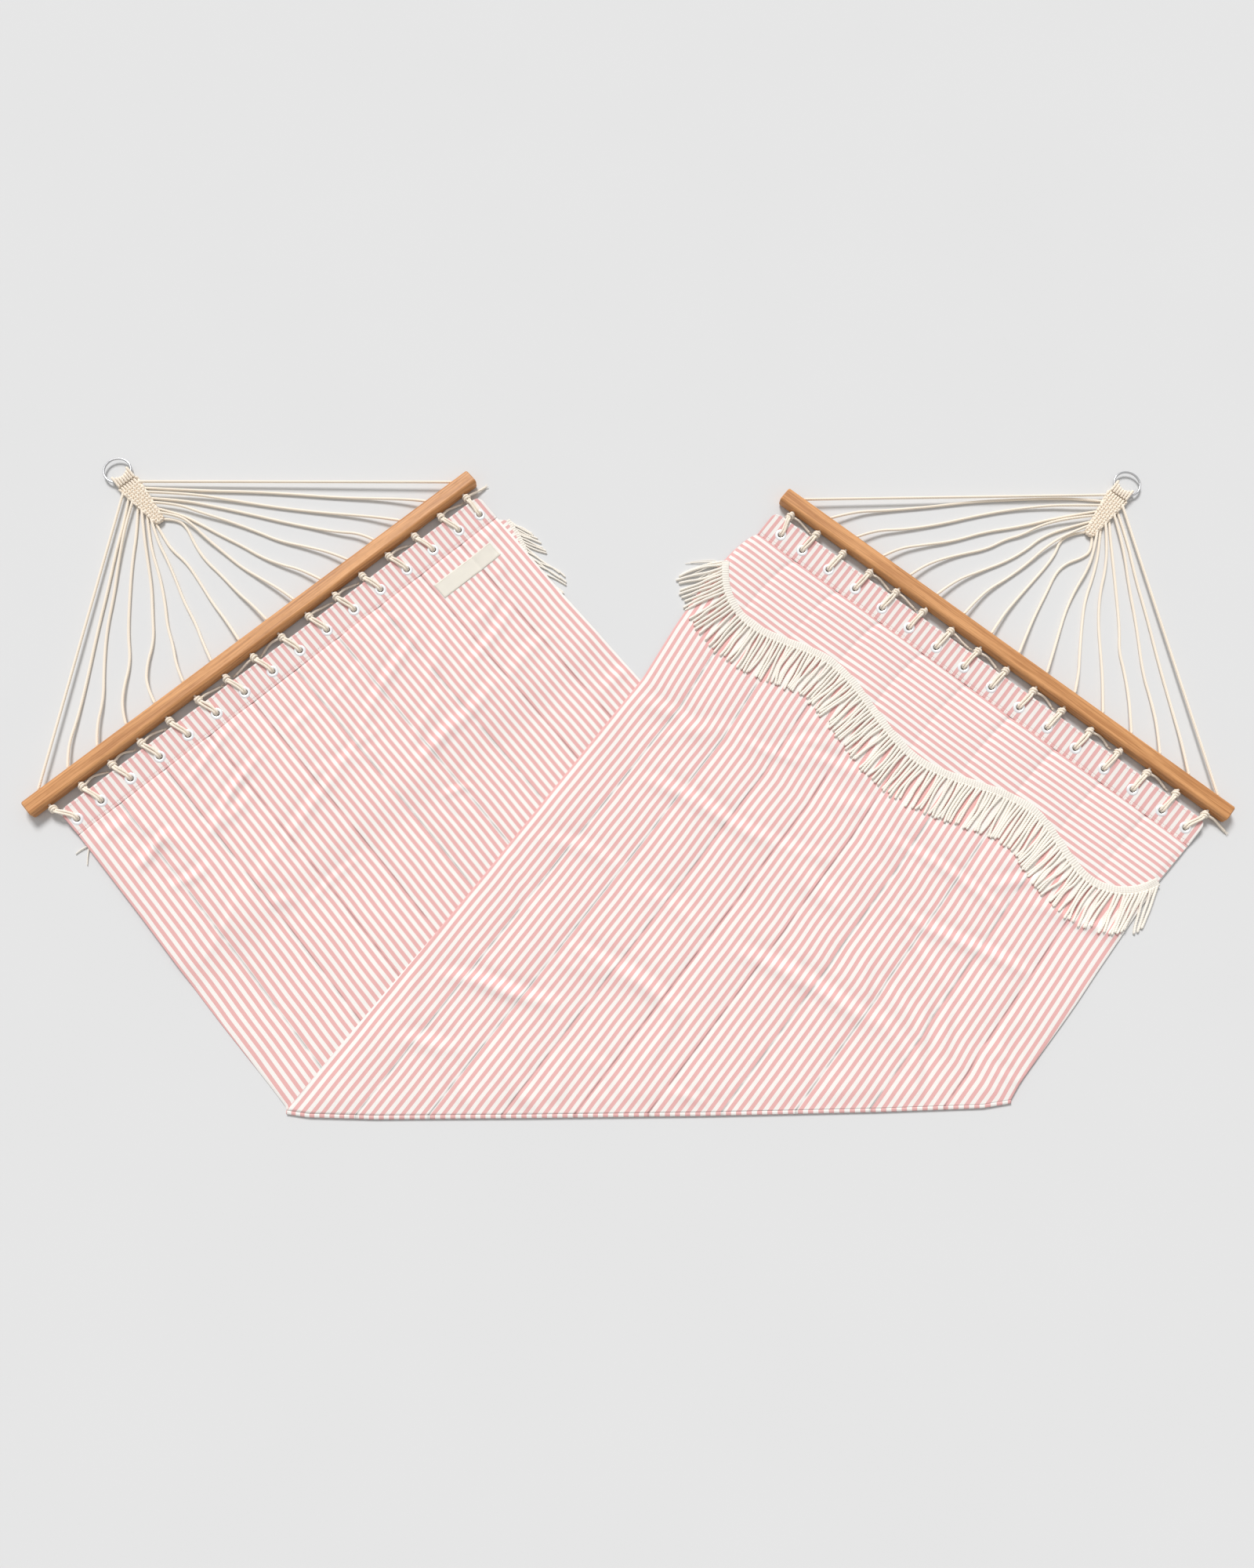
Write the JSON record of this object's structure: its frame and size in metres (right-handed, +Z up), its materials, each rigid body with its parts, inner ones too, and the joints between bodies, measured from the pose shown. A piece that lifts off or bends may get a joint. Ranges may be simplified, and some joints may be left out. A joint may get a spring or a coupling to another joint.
{
  "type": "spreader bar hammock",
  "caption": "Quilted fabric hammock with wooden spreader bars, woven rope clews, steel rings and scalloped fringed valances, folded once and laid flat.",
  "frame": {"origin": "centre of the bounding box without the fan cords, on the ground the hammock lies on", "axes": "+X along the fold towards the right bar, +Y from the fold towards the rings, +Z up"},
  "size_m": [2.1672, 1.2348, 0.026],
  "materials": {
    "cloth": "matte quilted cotton with fine pink and cream stripes",
    "label": "matte woven label, blank",
    "rope": "twisted soft-spun cream cotton-look rope",
    "fringe": "bullion fringe of soft cream cord",
    "wood": "satin oiled hardwood",
    "eyelet": "pale nickel-plated",
    "ring": "bright zinc-plated steel"
  },
  "bodies": {
    "lower_cloth": {"lower_bed": "cloth", "label": "label"},
    "upper_cloth": {"upper_bed": "cloth"},
    "left_bar": {"left_bar": "wood", "left_hem": "cloth", "left_eyelets": "eyelet", "left_washers": "eyelet", "left_lacing": "rope"},
    "left_clew": {"left_weave": "rope", "left_cord_01": "rope", "left_cord_02": "rope", "left_cord_03": "rope", "left_cord_04": "rope", "left_cord_05": "rope", "left_cord_06": "rope", "left_cord_07": "rope", "left_cord_08": "rope", "left_cord_09": "rope", "left_cord_10": "rope", "left_cord_11": "rope", "left_cord_12": "rope", "left_cord_13": "rope", "left_cord_14": "rope", "left_cord_15": "rope", "left_cord_16": "rope"},
    "left_ring_loops": {"left_ring_loops": "rope"},
    "left_ring": {"left_ring": "ring"},
    "left_valance": {"left_valance": "cloth", "left_fringe": "fringe"},
    "right_bar": {"right_bar": "wood", "right_hem": "cloth", "right_eyelets": "eyelet", "right_washers": "eyelet", "right_lacing": "rope"},
    "right_clew": {"right_weave": "rope", "right_cord_01": "rope", "right_cord_02": "rope", "right_cord_03": "rope", "right_cord_04": "rope", "right_cord_05": "rope", "right_cord_06": "rope", "right_cord_07": "rope", "right_cord_08": "rope", "right_cord_09": "rope", "right_cord_10": "rope", "right_cord_11": "rope", "right_cord_12": "rope", "right_cord_13": "rope", "right_cord_14": "rope", "right_cord_15": "rope", "right_cord_16": "rope"},
    "right_ring_loops": {"right_ring_loops": "rope"},
    "right_ring": {"right_ring": "ring"},
    "right_valance": {"right_valance": "cloth", "right_fringe": "fringe"}
  },
  "joints": [
    {"name": "bed_fold", "type": "hinge", "parent": "lower_cloth", "child": "upper_cloth", "pos_m": [0.0162, -0.6174, 0.00215], "axis": [1, 0, 0], "range_deg": [0, 175]},
    {"name": "left_bar_lift", "type": "hinge", "parent": "lower_cloth", "child": "left_bar", "pos_m": [-0.62936, 0.17392, 0.0065], "axis": [0.766, 0.6428, 0], "range_deg": [0, 25]},
    {"name": "left_clew_swing", "type": "hinge", "parent": "left_bar", "child": "left_clew", "pos_m": [-0.70071, 0.25895, 0.013], "axis": [0.766, 0.6428, 0], "range_deg": [0, 65]},
    {"name": "left_ring_flip", "type": "hinge", "parent": "left_clew", "child": "left_ring_loops", "pos_m": [-0.95751, 0.56499, 0.0155], "axis": [0.766, 0.6428, 0], "range_deg": [0, 100]},
    {"name": "left_ring_turn", "type": "hinge", "parent": "left_ring_loops", "child": "left_ring", "pos_m": [-0.9784, 0.58989, 0.0078], "axis": [0, 0, 1], "continuous": true},
    {"name": "left_valance_swing", "type": "hinge", "parent": "lower_cloth", "child": "left_valance", "pos_m": [-0.62679, 0.17086, 0.00435], "axis": [0.766, 0.6428, 0], "range_deg": [0, 90]},
    {"name": "right_bar_lift", "type": "hinge", "parent": "upper_cloth", "child": "right_bar", "pos_m": [0.62766, 0.13671, 0.0043], "axis": [0.7705, -0.6374, 0], "range_deg": [0, 25]},
    {"name": "right_clew_swing", "type": "hinge", "parent": "right_bar", "child": "right_clew", "pos_m": [0.69841, 0.22224, 0.013], "axis": [0.7705, -0.6374, 0], "range_deg": [0, 65]},
    {"name": "right_ring_flip", "type": "hinge", "parent": "right_clew", "child": "right_ring_loops", "pos_m": [0.95306, 0.53006, 0.0155], "axis": [0.7705, -0.6374, 0], "range_deg": [0, 100]},
    {"name": "right_ring_turn", "type": "hinge", "parent": "right_ring_loops", "child": "right_ring", "pos_m": [0.97378, 0.5551, 0.0078], "axis": [0, 0, 1], "continuous": true},
    {"name": "right_valance_swing", "type": "hinge", "parent": "upper_cloth", "child": "right_valance", "pos_m": [0.62511, 0.13363, 0.00445], "axis": [-0.7705, 0.6374, 0], "range_deg": [0, 90]}
  ]
}
